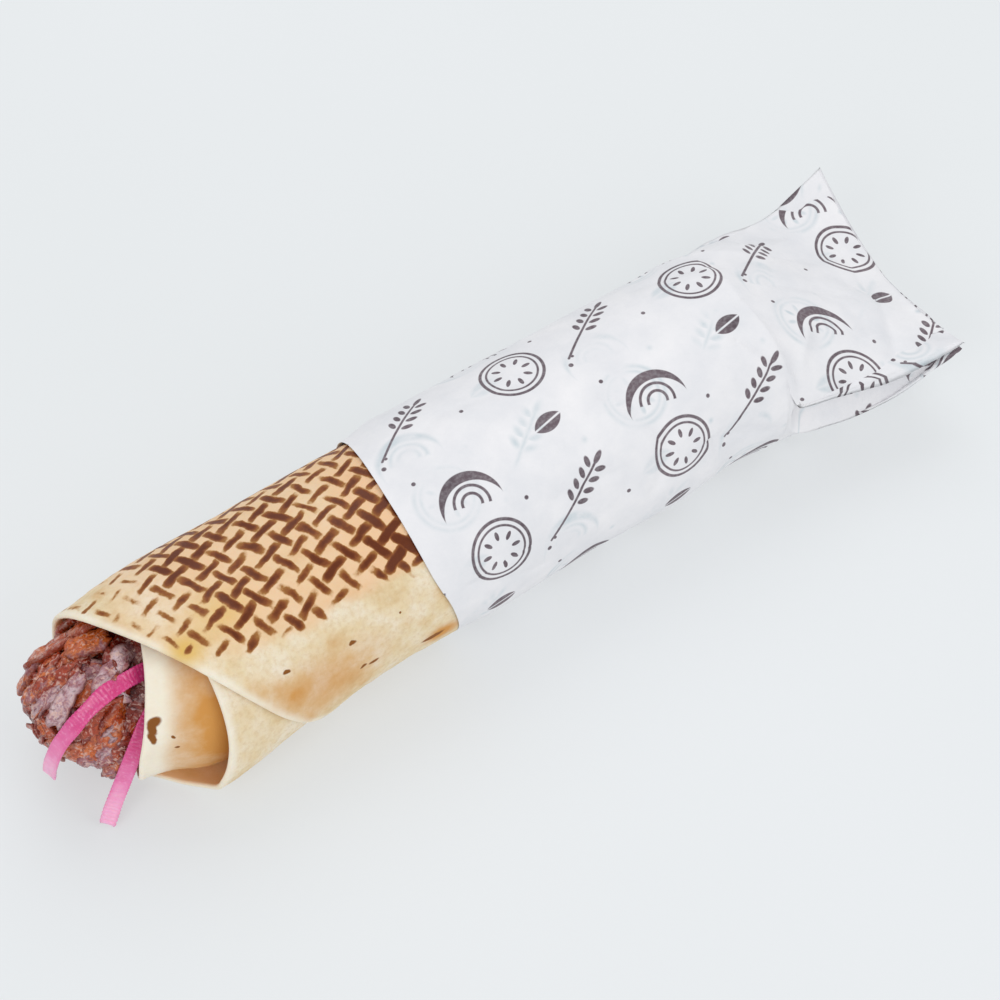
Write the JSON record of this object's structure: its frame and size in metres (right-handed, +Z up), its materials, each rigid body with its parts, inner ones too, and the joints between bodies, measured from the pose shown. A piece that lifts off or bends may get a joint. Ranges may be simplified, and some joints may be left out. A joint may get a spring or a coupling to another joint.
{
  "type": "gyro wrap in a paper sleeve",
  "caption": "Flatbread rolled round chopped roast meat with pickled onion strips at its open end, held in a gusseted paper sleeve, lying on its side.",
  "frame": {"origin": "bottom centre of the box round the whole wrap, on the surface it lies on", "axes": "+X along the roll, from the open end with the meat to the sleeve's shut end; +Z up; -Y is the side where the bread's free edge shows"},
  "size_m": [0.2857, 0.072, 0.0555],
  "materials": {
    "flatbread": "soft, matt, browned in spots",
    "meat_filling": "moist and glossy",
    "onion_strip_1": "moist, slightly see-through",
    "onion_strip_2": "moist, slightly see-through",
    "paper_sleeve": "matt thin paper, printed"
  },
  "bodies": {
    "root": {"flatbread": "flatbread", "meat_filling": "meat_filling", "onion_strip_1": "onion_strip_1", "onion_strip_2": "onion_strip_2", "paper_sleeve": "paper_sleeve"}
  },
  "joints": []
}
